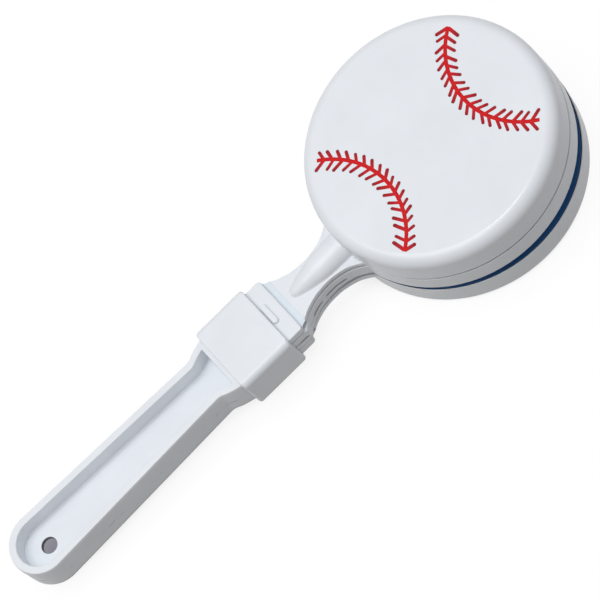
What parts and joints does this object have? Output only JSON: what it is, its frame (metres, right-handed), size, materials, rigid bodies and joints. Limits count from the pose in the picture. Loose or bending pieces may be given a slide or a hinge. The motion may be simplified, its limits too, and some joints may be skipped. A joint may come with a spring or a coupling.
{
  "type": "hand clapper",
  "caption": "Hand noisemaker: a handled paddle between two hollow round clappers on living hinges, clamped by a sleeve, with red stitching on one face.",
  "frame": {"origin": "centre of the back clapper's flat face, on the plane that the clapper lies on", "axes": "+Y from the handle towards the head, +Z from the back face up towards the printed front face, +X to the right seen from above with the head away from the viewer"},
  "size_m": [0.0878, 0.2347, 0.0371],
  "materials": {
    "white_plastic": "satin injection-moulded white plastic",
    "navy_plastic": "dark blue moulded plastic",
    "red_ink": "red printed ink"
  },
  "bodies": {
    "handle": {"handle_and_paddle": "white_plastic", "front_root_block": "white_plastic", "back_root_block": "white_plastic", "clamp_sleeve": "white_plastic"},
    "front_clapper": {"front_clapper_shell": "white_plastic", "front_inner_plate": "navy_plastic", "front_living_hinge": "white_plastic", "front_stitching_upper": "red_ink", "front_stitching_lower": "red_ink"},
    "back_clapper": {"back_clapper_shell": "white_plastic", "back_inner_plate": "navy_plastic", "back_living_hinge": "white_plastic"}
  },
  "joints": [
    {"name": "front_clapper_swing", "type": "hinge", "parent": "handle", "child": "front_clapper", "pos_m": [0, -0.06998, 0.02049], "axis": [1, 0, 0], "range_deg": [0, 30], "stiffness_Nm_per_rad": 0.1, "deforming": ["front_living_hinge"]},
    {"name": "back_clapper_swing", "type": "hinge", "parent": "handle", "child": "back_clapper", "pos_m": [0, -0.0696, 0.0119], "axis": [-1, 0, 0], "range_deg": [-2.5, 27.5], "stiffness_Nm_per_rad": 0.1, "deforming": ["back_living_hinge"]}
  ]
}
